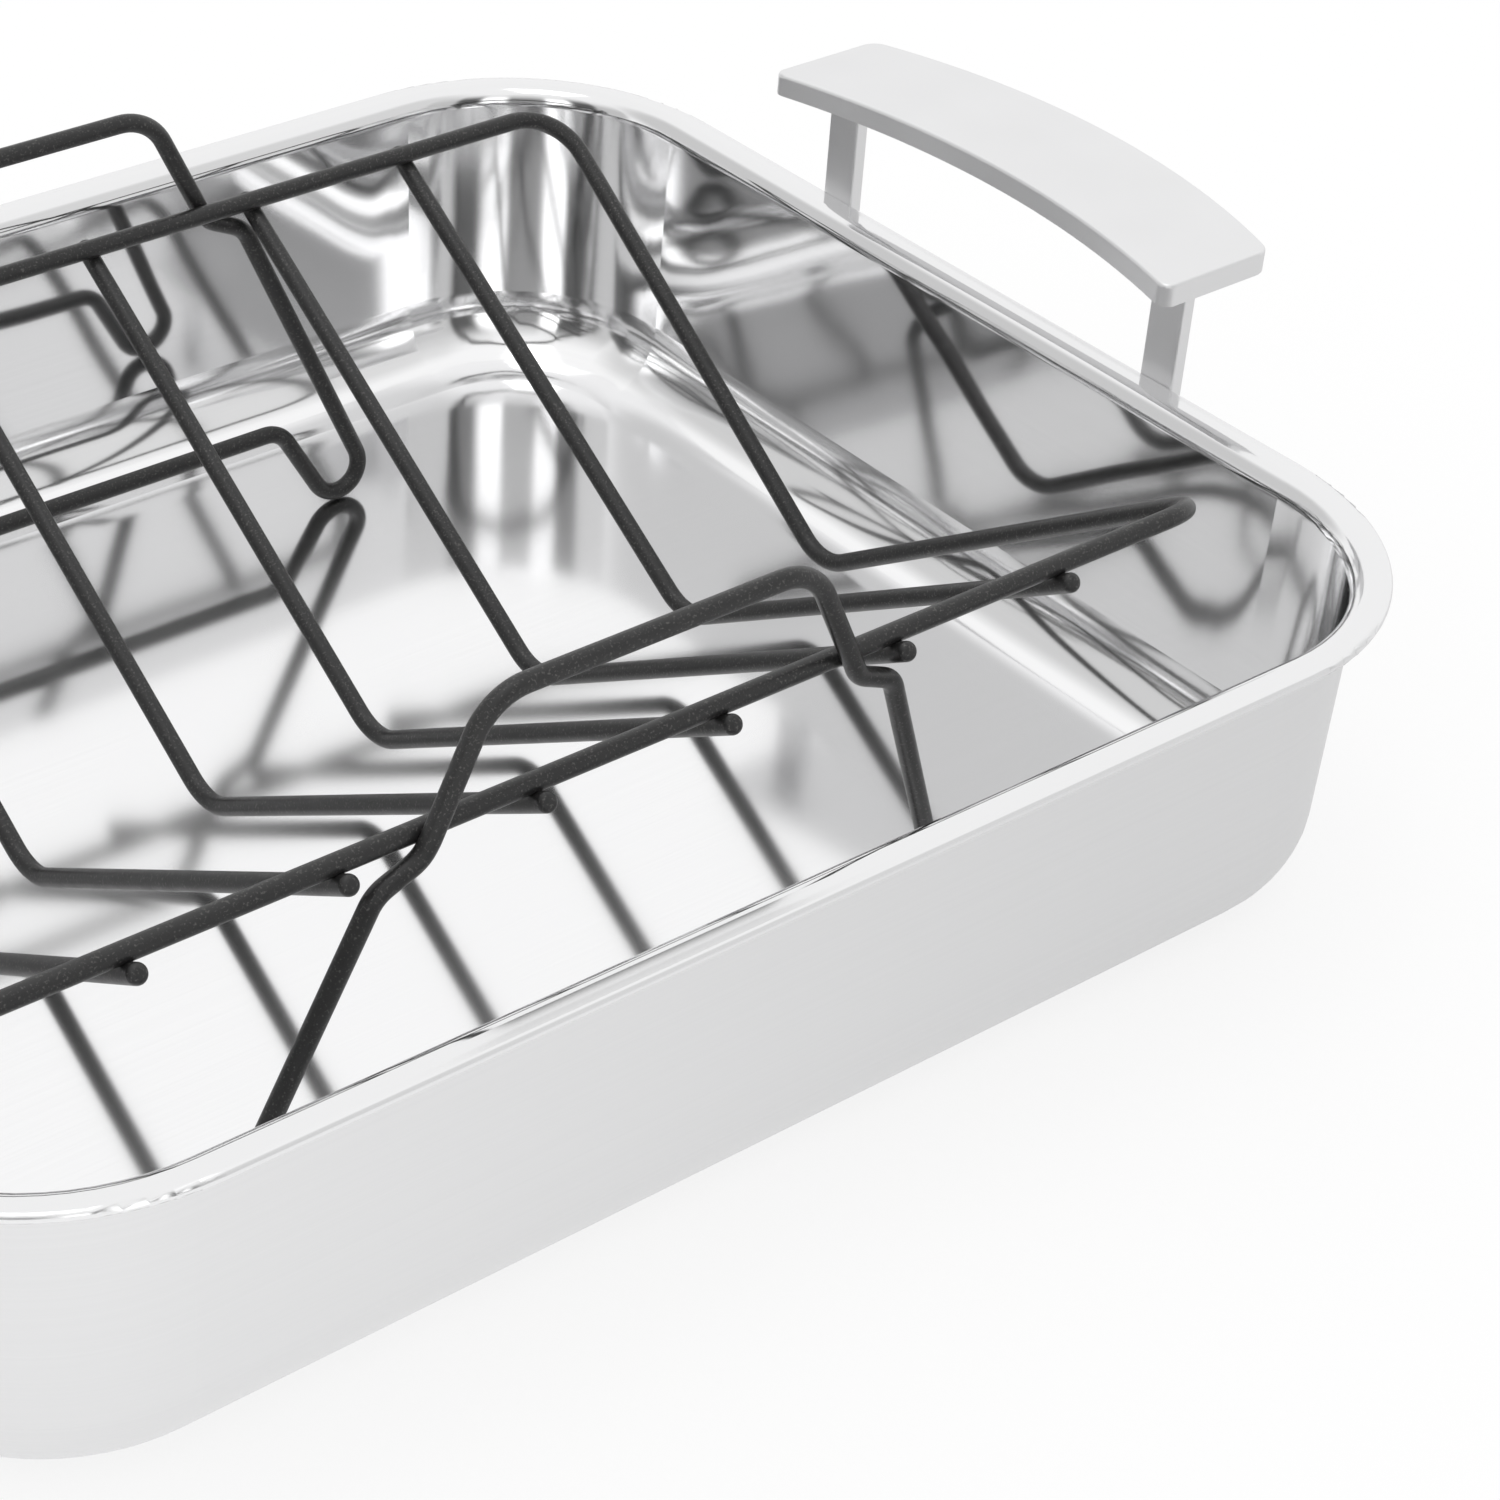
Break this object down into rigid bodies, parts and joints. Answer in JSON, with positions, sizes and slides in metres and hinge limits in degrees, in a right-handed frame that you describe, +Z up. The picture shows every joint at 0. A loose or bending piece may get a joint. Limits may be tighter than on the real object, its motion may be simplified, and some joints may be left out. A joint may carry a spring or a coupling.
{
  "type": "roasting pan with rack",
  "caption": "Rectangular steel roasting pan with raised end handles and a lift-out V-shaped wire roasting rack standing inside.",
  "frame": {"origin": "centre of the pan's flat underside, on the surface it stands on", "axes": "+X along the pan's long side towards the handle_right end, +Y from the front long side to the back, +Z up"},
  "size_m": [0.495, 0.3674, 0.131],
  "materials": {
    "pan_steel": "mirror polished inside, satin outside",
    "handle_steel": "satin cast",
    "coated_wire": "dark non-stick coating, softly speckled"
  },
  "bodies": {
    "pan": {"pan_shell": "pan_steel", "handle_right": "handle_steel", "handle_left": "handle_steel"},
    "rack": {"frame_wire": "coated_wire", "cross_wire_1": "coated_wire", "cross_wire_2": "coated_wire", "cross_wire_3": "coated_wire", "cross_wire_4": "coated_wire", "cross_wire_5": "coated_wire", "cross_wire_6": "coated_wire", "leg_loop_front": "coated_wire", "leg_loop_back": "coated_wire"}
  },
  "joints": [
    {"name": "rack_lift", "type": "slide", "parent": "pan", "child": "rack", "axis": [0, 0, 1], "range_m": [0, 0.14]}
  ]
}
